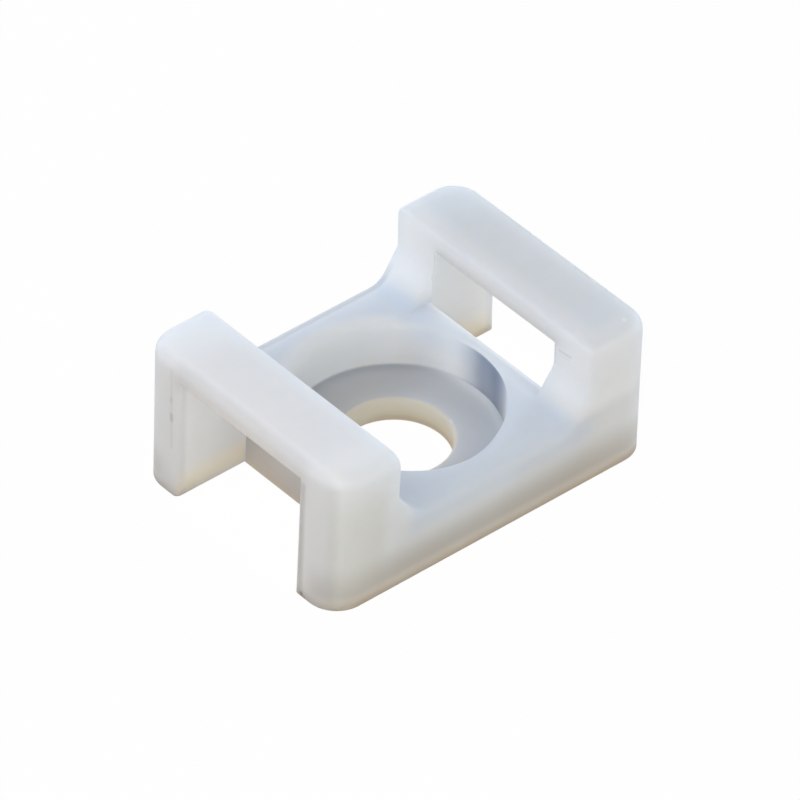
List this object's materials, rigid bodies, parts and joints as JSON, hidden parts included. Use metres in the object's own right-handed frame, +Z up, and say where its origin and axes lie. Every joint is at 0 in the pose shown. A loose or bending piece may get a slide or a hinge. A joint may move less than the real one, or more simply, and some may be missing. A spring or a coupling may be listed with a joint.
{
  "type": "cable saddle clip",
  "caption": "Moulded nylon saddle clip that screws to a surface; a cable tie passes under its arches and holds a cable in the trough between them.",
  "frame": {"origin": "middle of the flat underside, on the axis of the screw hole", "axes": "+X from arch to arch, the way the tie runs; +Y along the trough, the way the cable lies; +Z up, out of the surface the clip is screwed to"},
  "size_m": [0.022, 0.0158, 0.0088],
  "materials": {
    "natural_nylon": "satin moulded, slightly translucent"
  },
  "bodies": {
    "root": {"saddle_clip": "natural_nylon"}
  },
  "joints": []
}
